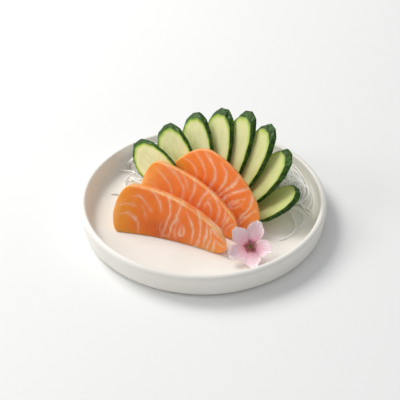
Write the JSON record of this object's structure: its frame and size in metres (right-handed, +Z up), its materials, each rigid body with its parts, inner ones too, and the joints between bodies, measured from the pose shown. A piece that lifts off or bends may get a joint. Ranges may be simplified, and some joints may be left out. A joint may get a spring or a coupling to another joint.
{
  "type": "sashimi plate",
  "caption": "Low round ceramic dish with salmon slices, a fan of cucumber slices, shredded daikon and a pale pink blossom.",
  "frame": {"origin": "centre of the bounding box's bottom face, in the middle of the dish's foot, on the surface it stands on", "axes": "+Z up through the middle of the dish; the front slice of salmon and the blossom are on the -Y side, which faces the diner"},
  "size_m": [0.18, 0.18, 0.0619],
  "materials": {
    "ceramic": "satin matte glaze",
    "salmon": "moist raw fish",
    "cucumber": "moist cut flesh with a dark green peel",
    "daikon": "moist translucent shreds",
    "petal": "soft matte petal"
  },
  "bodies": {
    "root": {"plate": "ceramic", "salmon_front": "salmon", "salmon_middle": "salmon", "salmon_back": "salmon", "cucumber_slice_1": "cucumber", "cucumber_slice_2": "cucumber", "cucumber_slice_3": "cucumber", "cucumber_slice_4": "cucumber", "cucumber_slice_5": "cucumber", "cucumber_slice_6": "cucumber", "cucumber_slice_7": "cucumber", "cucumber_slice_8": "cucumber", "daikon_heap": "daikon", "blossom": "petal"}
  },
  "joints": []
}
